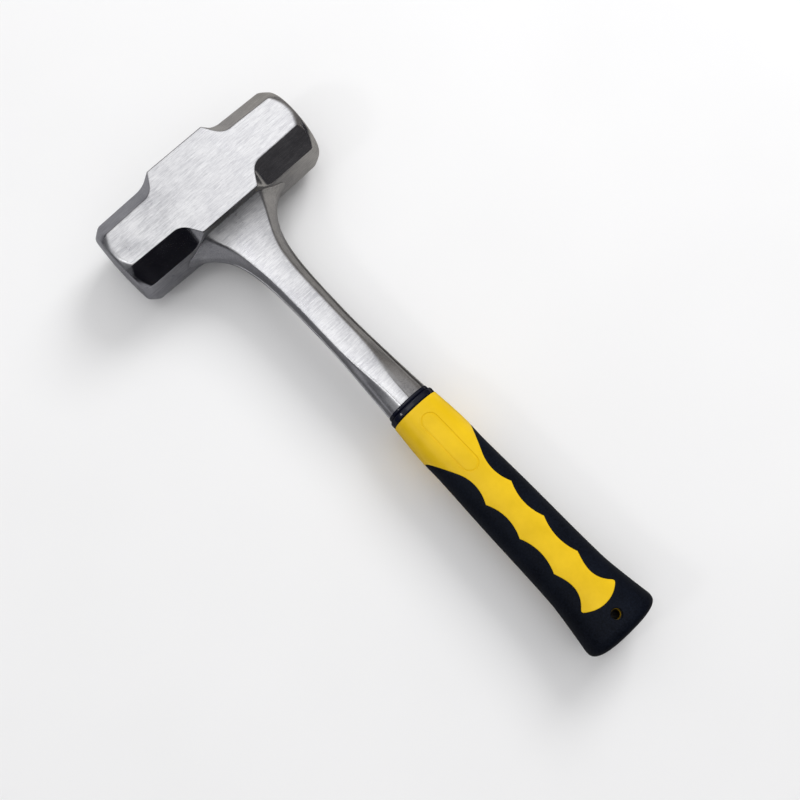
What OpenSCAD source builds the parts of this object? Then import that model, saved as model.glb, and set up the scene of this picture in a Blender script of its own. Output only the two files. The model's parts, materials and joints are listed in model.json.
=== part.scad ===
// One-piece forged sledgehammer, short club pattern, lying on one cheek.
// X runs along the head from striking face to striking face, the handle points to -Y and
// +Z goes up through the cheeks. The origin is on the lower cheek, under the point where the
// axes of head and handle cross.

/* [Head] */
// Length of the head over the two striking faces
head_len = 110; // [100:1:125]
// Square section of the middle block, across the cheeks and along the handle
head_w = 40; // [38:0.5:44]
// Length of the full square block in the middle
block_len = 32; // [28:0.5:36]
// Leg of the long corner chamfers where they leave the block
chamfer = 10; // [8.5:0.5:10.5]
// Slope of the arms' flats towards the striking faces, in degrees
arm_taper = 0.9; // [0.3:0.1:1.5]
// Radius of the concave run-out that leads each chamfer up into the block
runout_r = 9; // [6:0.5:9.5]
// Radius of the crowned striking face inside its rim
face_r = 16.5; // [14:0.5:17]
// Height of the crown on each striking face
crown = 0.8; // [0.4:0.1:1.2]
// Radius of the rounded rim round each striking face
rim_r = 3.5; // [2:0.5:4]
// Angle of the turned bevel behind the rim, from the head's axis
bevel_angle = 37; // [30:1:45]

/* [Shank] */
// Distance from the head's axis to the collar
shank_end = 137; // [125:1:150]
// Width of the shank at its narrowest
shank_w = 17.2; // [15:0.2:19]
// Thickness of the shank at its narrowest
shank_t = 18; // [16:0.5:19]
// Width of the ground flat on each broad side of the shank
flat_w = 11.8; // [9:0.2:12.5]
// Sideways offset of the ground flats, which are finished by hand
flat_shift = -1.6; // [-2:0.1:2]
// Extra width that the neck gains on each side where it meets the head
neck_flare = 18.5; // [14:0.5:20]
// Distance over which the neck's flare fades
neck_decay = 11.7; // [9:0.1:13]
// Extra thickness that the neck gains on each side where it meets the head
neck_thicken = 6.3; // [4:0.1:7]

/* [Tang] */
// Width of the tang inside the grip
tang_w = 16; // [12:0.5:17]
// Thickness of the tang inside the grip
tang_t = 10; // [8:0.5:12]
// Distance from the head's axis to the end of the tang
tang_end = 250; // [230:1:254]
// Depth of the locking notches in the tang's edges
notch_depth = 2.5; // [1:0.5:3]

/* [Collar] */
// Height of the collar's narrow upper tier
tier_h = 1.9; // [1.5:0.1:2.5]
// Height of the collar's wide bead
bead_h = 3.4; // [2.5:0.1:4]

/* [Grip] */
// Distance from the head's axis to the end of the butt
grip_end = 277; // [274:1:285]
// Thickness of the soft black panels
skin = 2; // [1.5:0.1:2.5]
// Thickness of the grip as a share of its width
grip_flatness = 0.87; // [0.8:0.01:0.95]
// Half width of the yellow strip at its narrow points
waist_half = 5.2; // [4.5:0.1:6]
// Half width of the yellow strip at its cusps
cusp_half = 7.5; // [6.8:0.1:8.5]
// Distance between two cusps
cusp_pitch = 20.8; // [19:0.1:21]
// Distance from the head's axis to the first cusp
first_cusp = 195; // [193:0.5:197]
// Distance from the head's axis to the lanyard hole
hole_y = 266.5; // [265.5:0.5:268]
// Diameter of the lanyard hole through the core
hole_d = 4.4; // [4:0.2:5]

/* [Hidden] */
$fn = 96;
mid_z = head_w / 2;
half_w = head_w / 2;
steel_colour = [0.74, 0.74, 0.76];
yellow = [0.89, 0.75, 0.2];
black = [0.09, 0.1, 0.13];

// Smooth step from 0 to 1 as t goes from 0 to 1
function ease(t) = let (u = max(0, min(1, t))) u * u * (3 - 2 * u);

// ---------------------------------------------------------------- head
// Distance from the head's axis to a chamfer plane, and the chamfer's own slope
chamfer_r = (2 * half_w - chamfer) / sqrt(2);
chamfer_slope = 1.7;
runout_angle = 50;
runout_steps = 10;
// Small gap between the block's corner and the start of each run-out
corner_gap = 0.1;
// Tangent point where the run-out meets the chamfer plane
runout_x = block_len / 2 + corner_gap + runout_r * sin(runout_angle)
    + (half_w * sqrt(2) - chamfer_r - runout_r * (1 - cos(runout_angle))) / tan(runout_angle);
// The cutters reach well past the head
cut_top = head_w;
cut_len = head_len;

// Outline of the material taken off one corner of one arm: x along the head, y away from its axis
module chamfer_outline() {
    climb = cut_top - chamfer_r - runout_r * (1 - cos(runout_angle));
    polygon(concat(
        [for (i = [0:runout_steps])
            let (a = runout_angle * i / runout_steps)
            [runout_x - runout_r * sin(a), chamfer_r + runout_r * (1 - cos(a))]],
        [[runout_x - runout_r * sin(runout_angle) - climb / tan(runout_angle), cut_top],
         [cut_len, cut_top],
         [cut_len, chamfer_r - (cut_len - runout_x) * tan(chamfer_slope)]]));
}

module chamfer_cutter() {
    rotate([45, 0, 0])
        rotate([90, 0, 0])
            linear_extrude(height = head_w, center = true)
                chamfer_outline();
}

// Wedge that takes the taper off one flat of one arm
module flat_cutter() {
    translate([block_len / 2, 0, half_w])
        rotate([0, arm_taper, 0])
            translate([0, -head_w, 0])
                cube([head_len, 2 * head_w, head_w]);
}

// Turned outline of one end, as [distance from the axis, position along the head]
crown_steps = 6;
rim_steps = 8;
function end_outline() = let (
        crown_r = (face_r * face_r + crown * crown) / (2 * crown),
        lean = asin(face_r / crown_r),
        centre = [face_r - rim_r * sin(lean), head_len / 2 - crown - rim_r * cos(lean)],
        last = 90 - bevel_angle,
        cone_r = centre[0] + rim_r * sin(last),
        cone_x = centre[1] + rim_r * cos(last),
        reach = head_w - cone_r)
    concat(
        [for (i = [0:crown_steps]) let (a = lean * i / crown_steps)
            [crown_r * sin(a), head_len / 2 - crown_r * (1 - cos(a))]],
        [for (i = [1:rim_steps]) let (a = lean + (last - lean) * i / rim_steps)
            centre + rim_r * [sin(a), cos(a)]],
        [[cone_r + reach, cone_x - reach / tan(bevel_angle)]]);

module turned_envelope() {
    side = end_outline();
    rotate([0, 90, 0])
        rotate_extrude()
            polygon(concat(side, [for (i = [len(side) - 1:-1:0]) [side[i][0], -side[i][1]]]));
}

module head() {
    translate([0, 0, mid_z])
        intersection() {
            difference() {
                cube([head_len, head_w, head_w], center = true);
                for (side = [0, 1])
                    mirror([side, 0, 0])
                        for (quarter = [0:3])
                            rotate([90 * quarter, 0, 0]) {
                                chamfer_cutter();
                                flat_cutter();
                            }
            }
            turned_envelope();
        }
}

// ---------------------------------------------------------------- shank
// Every shape function takes the distance d from the head's axis down the handle.
// Small fillet where the neck's sides leave the head, and the distance over which it fades
root_fillet = 3;
root_decay = 2;
// Distance over which the neck's broad flat narrows, and how sharply
flat_decay = 16.5;
flat_power = 1.5;
// Where the ground flat starts to narrow towards the collar, and by how much a side
flat_end = 97;
flat_narrowing = 2.8;
// Where the shank starts to swell towards the collar, and what it gains a side
waist_end = 88;
swell_power = 1.3;
swell_w = 2.5;
swell_t = 0.4;
// Stretch of the neck over which the ground flats move off centre
shift_start = 8;
shift_length = 20;

function from_head(d) = max(0, d - half_w);
function neck_fade(d) = exp(-from_head(d) / neck_decay);
function root_fade(d) = exp(-from_head(d) / root_decay);
function flat_fade(d) = exp(-pow(from_head(d) / flat_decay, flat_power));
function swell(d) = pow(max(0, (d - waist_end) / (shank_end - waist_end)), swell_power);

function shank_half_w(d) = shank_w / 2 + neck_flare * neck_fade(d)
    + root_fillet * root_fade(d) + swell_w * swell(d);
function shank_half_t(d) = shank_t / 2 + neck_thicken * neck_fade(d) + swell_t * swell(d);
function flat_half(d) = flat_w / 2 + (block_len / 2 - flat_w / 2) * flat_fade(d)
    - flat_narrowing * ease((d - flat_end) / (shank_end - flat_end));
function flat_offset(d) = flat_shift * ease((from_head(d) - shift_start) / shift_length);

// Quarter section from the parting line up: steep side, ground bevel, then the crowned flat
function shank_quarter(d, side) = let (
        w = shank_half_w(d),
        t = shank_half_t(d),
        f = flat_half(d) + side * flat_offset(d),
        drop = w - f,
        bevel_share = 0.74 - 0.2 * flat_fade(d))
    [[w, 0.6],
     [w - 0.25 - 0.06 * drop, 0.22 * t],
     [f + bevel_share * drop, (0.5 + 0.07 * swell(d)) * t],
     [f + 0.15 * bevel_share * drop, t - 1],
     [f - 0.5, t - 0.3],
     [0.45 * f, t]];

function shank_section(d) = let (
        right = shank_quarter(d, 1),
        left = shank_quarter(d, -1),
        n = len(right) - 1)
    concat(
        right,
        [for (i = [n:-1:0]) [-left[i][0], left[i][1]]],
        [for (i = [0:n]) -left[i]],
        [for (i = [n:-1:0]) [right[i][0], -right[i][1]]]);

// Solid through a list of closed sections, each [distance down the handle, outline]
module loft(sections) {
    n = len(sections[0][1]);
    m = len(sections);
    points = [for (s = sections) for (p = s[1]) [p[0], -s[0], mid_z + p[1]]];
    walls = [for (j = [0:m - 2]) for (i = [0:n - 1])
        let (a = j * n + i, b = j * n + (i + 1) % n)
        each [[a, b + n, b], [a, a + n, b + n]]];
    caps = [[for (i = [0:n - 1]) i], [for (i = [n - 1:-1:0]) (m - 1) * n + i]];
    polyhedron(points, concat(walls, caps), convexity = 6);
}

// Sections crowd together at the root of the neck and open out along the shank
root_len = 5;
neck_len = 24;
root_steps = 7;
neck_steps = 8;
shank_steps = 9;
neck_start = half_w + root_len;
straight_start = neck_start + neck_len;
// The loft runs on a little past the collar, where it is cut off square
shank_trim = 2;
trimmed_len = shank_end + shank_trim - straight_start;
shank_stations = concat(
    [for (i = [0:root_steps]) half_w + root_len * pow(i / root_steps, 2)],
    [for (i = [1:neck_steps]) neck_start + neck_len * i / neck_steps],
    [for (i = [1:shank_steps]) straight_start + trimmed_len * i / shank_steps]);

module shank() {
    difference() {
        loft([for (d = shank_stations) [d, shank_section(d)]]);
        translate([-head_w, -shank_end - head_w, mid_z - head_w])
            cube([2 * head_w, head_w, 2 * head_w]);
    }
    // Root of the neck inside the block
    translate([-block_len / 2, -half_w, mid_z - half_w / 2])
        cube([block_len, half_w, half_w]);
}

// ---------------------------------------------------------------- tang
notch_r = 4;
notch_places = [170, 200, 230];
// How far the tang's bar reaches back into the shank
tang_root = 4;

module tang_outline() {
    difference() {
        translate([-tang_w / 2, -tang_end])
            square([tang_w, tang_end - shank_end + tang_root]);
        for (d = notch_places)
            for (side = [-1, 1])
                translate([side * (tang_w / 2 + notch_r - notch_depth), -d])
                    circle(r = notch_r);
    }
}

module tang() {
    translate([0, 0, mid_z - tang_t / 2])
        linear_extrude(height = tang_t)
            tang_outline();
}

module hammer_forging() {
    color(steel_colour) {
        head();
        shank();
        tang();
    }
}

// ---------------------------------------------------------------- collar
collar_wide = 12.3;
collar_narrow = 11.3;
collar_points = 64;

module collar_ring(d, h, half) {
    translate([0, -d, mid_z])
        rotate([90, 0, 0])
            linear_extrude(height = h)
                polygon([for (i = [0:collar_points - 1])
                    oval_point(360 * i / collar_points, half, half * grip_flatness)]);
}

module collar() {
    color(black)
        difference() {
            union() {
                collar_ring(shank_end, tier_h, collar_narrow);
                collar_ring(shank_end + tier_h, bead_h, collar_wide);
            }
            tang();
        }
}

// ---------------------------------------------------------------- grip
grip_start = shank_end + tier_h + bead_h;
// Where the flare of the butt starts, and how far its end is rounded
flare_start = 245;
butt_round = 6;
butt_power = 3.2;
// Half widths of the grip as [distance from the head's axis, half width]
grip_profile = [
    [grip_start, 12.5],
    [160, 13.8],
    [172, 13.7],
    [200, 14.5],
    [flare_start, 15.5],
    [258, 16.9],
    [grip_end - butt_round, 18.8]];
// The grip's section is an oval that is a little squarer than an ellipse
oval_power = 2.3;

function oval_point(a, half_x, half_z) = [
    half_x * sign(cos(a)) * pow(abs(cos(a)), 2 / oval_power),
    half_z * sign(sin(a)) * pow(abs(sin(a)), 2 / oval_power)];

// Smooth curve through the profile, its slope at each point taken from the two neighbours
last_point = len(grip_profile) - 1;
function slope_at(i) = let (a = grip_profile[max(0, i - 1)], b = grip_profile[min(last_point, i + 1)])
    (b[1] - a[1]) / (b[0] - a[0]);
function profile_piece(d) = max([for (i = [0:last_point - 1]) d >= grip_profile[i][0] ? i : 0]);
function grip_half(d) = let (
        i = profile_piece(d),
        a = grip_profile[i],
        b = grip_profile[i + 1],
        h = b[0] - a[0],
        u = max(0, min(1, (d - a[0]) / h)),
        v = 1 - u)
    a[1] * (1 + 2 * u) * v * v + slope_at(i) * h * u * v * v
    + b[1] * u * u * (3 - 2 * u) - slope_at(i + 1) * h * u * u * v;

// Rounding of the butt, as a share of the full section, which stops short of a point
butt_limit = 0.985;
function butt_share(d) = let (u = max(0, min(butt_limit, (d - grip_end + butt_round) / butt_round)))
    pow(1 - pow(u, butt_power), 1 / butt_power);

section_points = 40;
function grip_section(d, inset) = let (half = grip_half(d) * butt_share(d))
    [for (i = [0:section_points - 1])
        oval_point(360 * i / section_points, half - inset, half * grip_flatness - inset)];

grip_steps = 12;
flare_steps = 4;
body_stations = concat(
    [for (i = [0:grip_steps]) grip_start + (flare_start - grip_start) * i / grip_steps],
    [for (i = [1:flare_steps]) flare_start + (grip_end - butt_round - flare_start) * i / flare_steps]);
butt_stations = [for (u = [0.35, 0.6, 0.78, 0.9, butt_limit, 1]) grip_end - butt_round * (1 - u)];

module grip_outer() {
    loft([for (d = concat(body_stations, butt_stations)) [d, grip_section(d, 0)]]);
}

// Core under the soft panels, with a drawn-in end inside the butt
butt_wall = 3;
end_draw = 1.5;
module core_inner() {
    loft(concat(
        [for (d = body_stations) [d, grip_section(d, skin)]],
        [[grip_end - butt_wall, grip_section(grip_end - butt_round, skin + end_draw)]]));
}

// Right-hand edge of the yellow window, from the throat to the fan, as [x, distance].
// The throat's edge is straight, from the side of the grip to the first arc.
arc_steps = 8;
throat_d = 163;
throat_half = 14;
throat_end_d = 178;
throat_end_half = 7;
throat_dip = 2;
clear_of_grip = 30;
scallop = cusp_half - waist_half;
second_cusp = first_cusp + cusp_pitch;
third_cusp = first_cusp + 2 * cusp_pitch;
fan_d = 256;
fan_half = 10.4;
fan_sag = 4.2;
fan_dip = scallop + 1.2;
fan_r = (fan_half * fan_half + fan_sag * fan_sag) / (2 * fan_sag);
fan_angle = asin(fan_half / fan_r);

// Shallow arc from a to b that dips towards the grip's middle line, without its last point
function arc_edge(a, b, dip) = [for (i = [0:arc_steps - 1])
    let (u = i / arc_steps)
    a + (b - a) * u - [4 * dip * u * (1 - u), 0]];

window_edge = concat(
    [[clear_of_grip, grip_start - 1], [clear_of_grip, throat_d - 8], [throat_half, throat_d]],
    arc_edge([throat_end_half, throat_end_d], [cusp_half, first_cusp], throat_dip),
    arc_edge([cusp_half, first_cusp], [cusp_half, second_cusp], scallop),
    arc_edge([cusp_half, second_cusp], [cusp_half, third_cusp], scallop),
    arc_edge([cusp_half, third_cusp], [fan_half, fan_d], fan_dip));
fan_arc = [for (i = [-arc_steps:arc_steps]) let (a = fan_angle * i / arc_steps)
    [-fan_r * sin(a), fan_d + fan_sag - fan_r * (1 - cos(a))]];

module yellow_window() {
    outline = concat(
        window_edge,
        fan_arc,
        [for (i = [len(window_edge) - 1:-1:0]) [-window_edge[i][0], window_edge[i][1]]]);
    translate([0, 0, mid_z - head_w])
        linear_extrude(height = 2 * head_w)
            polygon([for (p = outline) [p[0], -p[1]]]);
}

// The soft skin's hole stands back this far from the core's bore
hole_lip = 0.3;

module lanyard_hole(d) {
    translate([0, -hole_y, mid_z])
        cylinder(d = d, h = 2 * head_w, center = true);
}

module grip_core() {
    color(yellow)
        difference() {
            union() {
                core_inner();
                intersection() {
                    grip_outer();
                    yellow_window();
                }
            }
            tang();
            lanyard_hole(hole_d);
        }
}

// The soft skin fills the outer shape wherever the window and the core leave room
module grip_overmould() {
    color(black)
        difference() {
            grip_outer();
            core_inner();
            yellow_window();
            lanyard_hole(hole_d + 2 * hole_lip);
        }
}

hammer_forging();
collar();
grip_core();
grip_overmould();
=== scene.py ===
import json
import math

import bmesh
import bpy
import numpy as np
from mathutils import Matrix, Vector
from mathutils.kdtree import KDTree


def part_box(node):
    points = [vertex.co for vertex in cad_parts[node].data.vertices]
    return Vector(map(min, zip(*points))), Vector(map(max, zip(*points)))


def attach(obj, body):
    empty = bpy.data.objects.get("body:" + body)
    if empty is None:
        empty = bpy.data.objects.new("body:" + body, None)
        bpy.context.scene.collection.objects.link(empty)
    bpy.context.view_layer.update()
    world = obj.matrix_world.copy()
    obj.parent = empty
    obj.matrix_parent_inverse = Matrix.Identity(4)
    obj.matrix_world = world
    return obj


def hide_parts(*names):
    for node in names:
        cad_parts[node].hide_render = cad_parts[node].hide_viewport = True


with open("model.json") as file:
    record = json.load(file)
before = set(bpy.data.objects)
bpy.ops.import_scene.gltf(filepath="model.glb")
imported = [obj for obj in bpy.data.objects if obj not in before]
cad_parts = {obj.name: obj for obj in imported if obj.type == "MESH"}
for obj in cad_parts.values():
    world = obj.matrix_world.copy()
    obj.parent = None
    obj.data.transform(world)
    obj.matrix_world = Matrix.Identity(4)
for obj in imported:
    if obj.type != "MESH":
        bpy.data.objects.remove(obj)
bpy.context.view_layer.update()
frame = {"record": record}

MM = 0.001


def box_mm(node):
    low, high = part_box(node)
    return np.array(low) / MM, np.array(high) / MM


forging_low, forging_high = box_mm("hammer_forging")
collar_low, collar_high = box_mm("collar")
skin_low, _ = box_mm("grip_overmould")
mounts = {m["name"]: m for m in frame["record"]["mounts"]}

# ---------------------------------------------------------------- sizes, in millimetres
HEAD_END = forging_high[0]
HALF_W = forging_high[1]
MID_Z = (forging_low[2] + forging_high[2]) / 2
TANG_END = -forging_low[1]
SHANK_END = -collar_high[1]
GRIP_START = -collar_low[1]
GRIP_END = -skin_low[1]

# The head's sizes are those of the CAD
BLOCK_HALF = 16.0
CHAMFER = 10.0
ARM_TAPER = math.radians(0.9)
CHAMFER_SLOPE = math.radians(1.7)
RUNOUT_R = 9.0
RUNOUT_ANGLE = math.radians(50)
FACE_R = 16.5
CROWN = 0.8
RIM_R = 3.5
BEVEL_ANGLE = math.radians(37)
# Rounding of the square's corners, of the chamfers' edges and of the turned bevel's edge
CORNER_SOFT = 1.3
EDGE_SOFT = 0.4
BEVEL_SOFT = 0.9
# Least leg of a chamfer in the grid, where the chamfer itself has run out
MIN_LEG = 0.9
# Stands in for an edge that lies too far out to matter
FAR_AWAY = 200.0
# Clearance that keeps touching surfaces from coinciding
CLEARANCE = 0.01


# ---------------------------------------------------------------- mesh helpers
def new_object(name, verts, faces, smooth_angle=35.0):
    mesh = bpy.data.meshes.new(name)
    verts = np.asarray(verts, float).reshape(-1, 3) * MM
    mesh.from_pydata([tuple(v) for v in verts], [], [tuple(f) for f in faces])
    weld(mesh)
    obj = bpy.data.objects.new(name, mesh)
    bpy.context.scene.collection.objects.link(obj)
    shade(obj, smooth_angle)
    return obj


def shade(obj, angle):
    mesh = obj.data
    mesh.polygons.foreach_set("use_smooth", np.ones(len(mesh.polygons), bool))
    mesh.set_sharp_from_angle(angle=math.radians(angle))
    mesh.update()


def weld(mesh, distance=2e-6):
    """Merges points that coincide and drops faces without area."""
    bm = bmesh.new()
    bm.from_mesh(mesh)
    bmesh.ops.remove_doubles(bm, verts=bm.verts, dist=distance)
    bmesh.ops.dissolve_degenerate(bm, edges=bm.edges, dist=distance / 2)
    bmesh.ops.recalc_face_normals(bm, faces=bm.faces)
    bm.to_mesh(mesh)
    bm.free()


def combine(target, tool, operation):
    """Applies a Boolean to target and removes the tool."""
    cut = target.modifiers.new("cut", "BOOLEAN")
    cut.operation = operation
    cut.solver = "EXACT"
    cut.object = tool
    deps = bpy.context.evaluated_depsgraph_get()
    deps.update()
    made = bpy.data.meshes.new_from_object(target.evaluated_get(deps))
    target.modifiers.clear()
    old = target.data
    target.data = made
    bpy.data.meshes.remove(old)
    bpy.data.objects.remove(tool)
    weld(made)


def grid_faces(rows, columns, closed=True):
    """Quads of a grid of rows by columns, the columns closing on themselves."""
    wrap = columns if closed else columns - 1
    i, j = np.meshgrid(np.arange(rows - 1), np.arange(wrap), indexing="ij")
    a = i * columns + j
    b = i * columns + (j + 1) % columns
    return np.stack([a, b, b + columns, a + columns], -1).reshape(-1, 4).tolist()


def capped_loft(name, rings, smooth_angle=35.0, tips=None):
    """Closed solid through rings of points, an array of rows by columns by 3, with a fan at each end."""
    rows, columns = rings.shape[:2]
    faces = grid_faces(rows, columns)
    if tips is None:
        tips = np.array([rings[0].mean(0), rings[-1].mean(0)])
    first, last, base = rows * columns, rows * columns + 1, (rows - 1) * columns
    for j in range(columns):
        k = (j + 1) % columns
        faces.append([first, k, j])
        faces.append([last, base + j, base + k])
    return new_object(name, np.vstack([rings.reshape(-1, 3), tips]), faces, smooth_angle)


def ease(t):
    """Smooth step from 0 to 1 as t goes from 0 to 1."""
    u = np.clip(t, 0, 1)
    return u * u * (3 - 2 * u)


def smooth_min(a, b, k):
    """Smaller of a and b, blended where they are within k of each other."""
    h = np.maximum(k - np.abs(a - b), 0) / k
    return np.minimum(a, b) - h * h * k / 4


# ---------------------------------------------------------------- head
chamfer_r = (2 * HALF_W - CHAMFER) / math.sqrt(2)
runout_x = (
    BLOCK_HALF
    + RUNOUT_R * math.sin(RUNOUT_ANGLE)
    + (HALF_W * math.sqrt(2) - chamfer_r - RUNOUT_R * (1 - math.cos(RUNOUT_ANGLE)))
    / math.tan(RUNOUT_ANGLE)
)
crown_r = (FACE_R**2 + CROWN**2) / (2 * CROWN)
lean = math.asin(FACE_R / crown_r)
rim_centre = (FACE_R - RIM_R * math.sin(lean), HEAD_END - CROWN - RIM_R * math.cos(lean))
rim_last = math.pi / 2 - BEVEL_ANGLE
cone_r = rim_centre[0] + RIM_R * math.sin(rim_last)
cone_x = rim_centre[1] + RIM_R * math.cos(rim_last)


def flat_reach(x):
    """Distance from the head's axis to its flats at x."""
    return HALF_W - np.maximum(0, np.abs(x) - BLOCK_HALF) * math.tan(ARM_TAPER)


def chamfer_reach(x):
    """Distance from the head's axis to its chamfers at x, with the run-out up into the block."""
    ax = np.abs(x)
    start = runout_x - RUNOUT_R * math.sin(RUNOUT_ANGLE)
    plane = chamfer_r - (ax - runout_x) * math.tan(CHAMFER_SLOPE)
    arc = chamfer_r + RUNOUT_R - np.sqrt(np.maximum(RUNOUT_R**2 - (runout_x - ax) ** 2, 0))
    climb = (
        chamfer_r
        + RUNOUT_R * (1 - math.cos(RUNOUT_ANGLE))
        + (start - ax) * math.tan(RUNOUT_ANGLE)
    )
    return np.where(ax >= runout_x, plane, np.where(ax >= start, arc, climb))


def head_radius(theta, x, envelope):
    """Radius of the head's section at angle theta and place x, inside the turned envelope."""
    c = np.maximum(np.abs(np.cos(theta)), 1e-6)
    s = np.maximum(np.abs(np.sin(theta)), 1e-6)
    h = flat_reach(x)
    r = smooth_min(np.minimum(h / c, FAR_AWAY), np.minimum(h / s, FAR_AWAY), CORNER_SOFT)
    r = smooth_min(r, chamfer_reach(x) * math.sqrt(2) / (c + s), EDGE_SOFT)
    return smooth_min(r, envelope, BEVEL_SOFT)


def cone_envelope(x):
    """Radius of the turned bevel at x."""
    return cone_r + (cone_x - np.abs(x)) * math.tan(BEVEL_ANGLE)


# Spacing of the grid's lines beside a chamfer's edge, near it in millimetres and far from it in shares
FLAT_NEAR = np.array([0, 0.09, 0.18, 0.3, 0.5, 0.9])
FLAT_FAR = np.array([0.16, 0.33, 0.5, 0.67, 0.84, 1.0])
CHAMFER_NEAR = np.array([0.08, 0.16, 0.28, 0.5])
CHAMFER_FAR = np.array([0.2, 0.4, 0.6, 0.8, 1.0])
# Least length of a chamfer's half at which its near lines keep their full spacing
FULL_CHAMFER = 1.2


# Stations along half the head up to its bevel, close together where the chamfers run out
PLAIN_STATIONS = np.concatenate([
    [0, 4, 8, 11, 13, 14.4, 15.2, 15.7, 16.0, 16.2, 16.4, 16.6, 16.9],
    np.arange(17.2, 27.2, 0.35),
    [27.6, 28.4, 30, 33, 36, 39, 42, 45],
])
# Rows from there to the bevel's edge, over the bevel and over the crown, as shares of the way
EDGE_SHARES = (0.3, 0.55, 0.75, 0.87, 0.93, 0.965, 0.985, 1.0)
CONE_SHARES = (0.04, 0.09, 0.16, 0.27, 0.42, 0.6, 0.8, 1.0)
CROWN_SHARES = (0.9, 0.8, 0.68, 0.56, 0.44, 0.32, 0.2, 0.1)
RIM_STEPS = 12
BEVEL_GUESS, BEVEL_ROUNDS = 50.0, 6
# Where the angles of the outer rows' lines are taken
BEVEL_STATION = 49.5


def head_columns(x):
    """Angles of the grid's lines round the head at x, which follow the chamfers' edges."""
    h = float(flat_reach(x))
    leg = max(2 * h - math.sqrt(2) * float(chamfer_reach(x)), MIN_LEG)
    edge = h - leg
    near = edge - FLAT_NEAR
    far = near[-1] * (1 - FLAT_FAR)
    across = np.arctan2(np.concatenate([near, far])[::-1], h)
    length = leg / math.sqrt(2)
    q_near = CHAMFER_NEAR * min(1.0, length / FULL_CHAMFER)
    q_far = q_near[-1] + (length - q_near[-1]) * CHAMFER_FAR
    q = np.concatenate([q_near, q_far]) / math.sqrt(2)
    eighth = np.concatenate([across, np.arctan2(edge + q, h - q)])
    quarter = np.concatenate([eighth, (math.pi / 2 - eighth[:-1])[::-1]])[:-1]
    return np.concatenate([quarter + k * math.pi / 2 for k in range(4)])


def bevel_start(theta):
    """Where the turned bevel meets the section at each angle, found in a few rounds."""
    x = np.full_like(theta, BEVEL_GUESS)
    for _ in range(BEVEL_ROUNDS):
        r = head_radius(theta, x, np.full_like(theta, FAR_AWAY))
        x = cone_x - (r - cone_r) / math.tan(BEVEL_ANGLE)
    return x


def head_half():
    """Grid of one half of the head, from the middle out."""
    rows = []
    for x in PLAIN_STATIONS:
        t = head_columns(x)
        rows.append((np.full_like(t, x), t, cone_envelope(np.full_like(t, x))))
    t = head_columns(BEVEL_STATION)
    edge = bevel_start(t)
    for f in EDGE_SHARES:
        x = PLAIN_STATIONS[-1] + (edge - PLAIN_STATIONS[-1]) * f
        rows.append((x, t, cone_envelope(x)))
    for f in CONE_SHARES:
        x = edge + (cone_x - edge) * f
        rows.append((x, t, cone_envelope(x)))
    one = np.ones_like(t)
    for a in np.linspace(rim_last, lean, RIM_STEPS)[1:]:
        rows.append((one * (rim_centre[1] + RIM_R * math.cos(a)), t,
                     one * (rim_centre[0] + RIM_R * math.sin(a))))
    for f in CROWN_SHARES:
        a = lean * f
        rows.append((one * (HEAD_END - crown_r * (1 - math.cos(a))), t, one * crown_r * math.sin(a)))
    made = []
    for x, t, e in rows:
        r = head_radius(t, x, e)
        made.append(np.stack([x, r * np.cos(t), MID_Z + r * np.sin(t)], -1))
    return np.array(made)


def build_head():
    right = head_half()
    left = right[:0:-1] * [-1, 1, 1]
    rings = np.concatenate([left, right])
    tips = np.array([[-HEAD_END, 0, MID_Z], [HEAD_END, 0, MID_Z]])
    return capped_loft("hammer", rings, tips=tips)


# ---------------------------------------------------------------- neck and shank
# These sizes are those of the CAD
SHANK_W = 17.2
SHANK_T = 18.0
FLAT_W = 11.8
FLAT_SHIFT = -1.6
NECK_FLARE = 18.5
NECK_DECAY = 11.7
NECK_THICKEN = 6.3
ROOT_FILLET = 3.0
ROOT_DECAY = 2.0
FLAT_DECAY = 16.5
FLAT_POWER = 1.5
FLAT_END = 97.0
FLAT_NARROWING = 2.8
WAIST_END = 88.0
SWELL_POWER = 1.3
SWELL_W = 2.5
SWELL_T = 0.4
SHIFT_START = 8.0
SHIFT_LENGTH = 20.0
# Flash line left by the dies along each side: how proud and how wide it is, and where it fades in
FLASH_H = 0.45
FLASH_W = 0.5
FLASH_FOOT = 1.6
FLASH_START = 24.0
FLASH_LENGTH = 12.0
# Side bevel: share of its width at which it breaks, which falls towards the neck, and the break's height
BREAK_SHARE, BREAK_FADE = 0.74, 0.2
BREAK_HEIGHT, BREAK_SWELL = 0.5, 0.07
EDGE_SHARE = 0.15
SIDE_LEAN, SIDE_HEIGHT = 0.06, 0.22
# The ground flat is a little crowned: how far in and down its edge lies, and where it becomes level
CROWN_IN, CROWN_DOWN = 0.5, 0.3
EDGE_DOWN = 1.0
LEVEL_SHARE = 0.45
# Rounding of the seven corners of a quarter of the section, from the side to the flat
SECTION_SOFT = [0.12, 0.2, 1.5, 2.2, 1.0, 0.5, 2.5]


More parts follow.
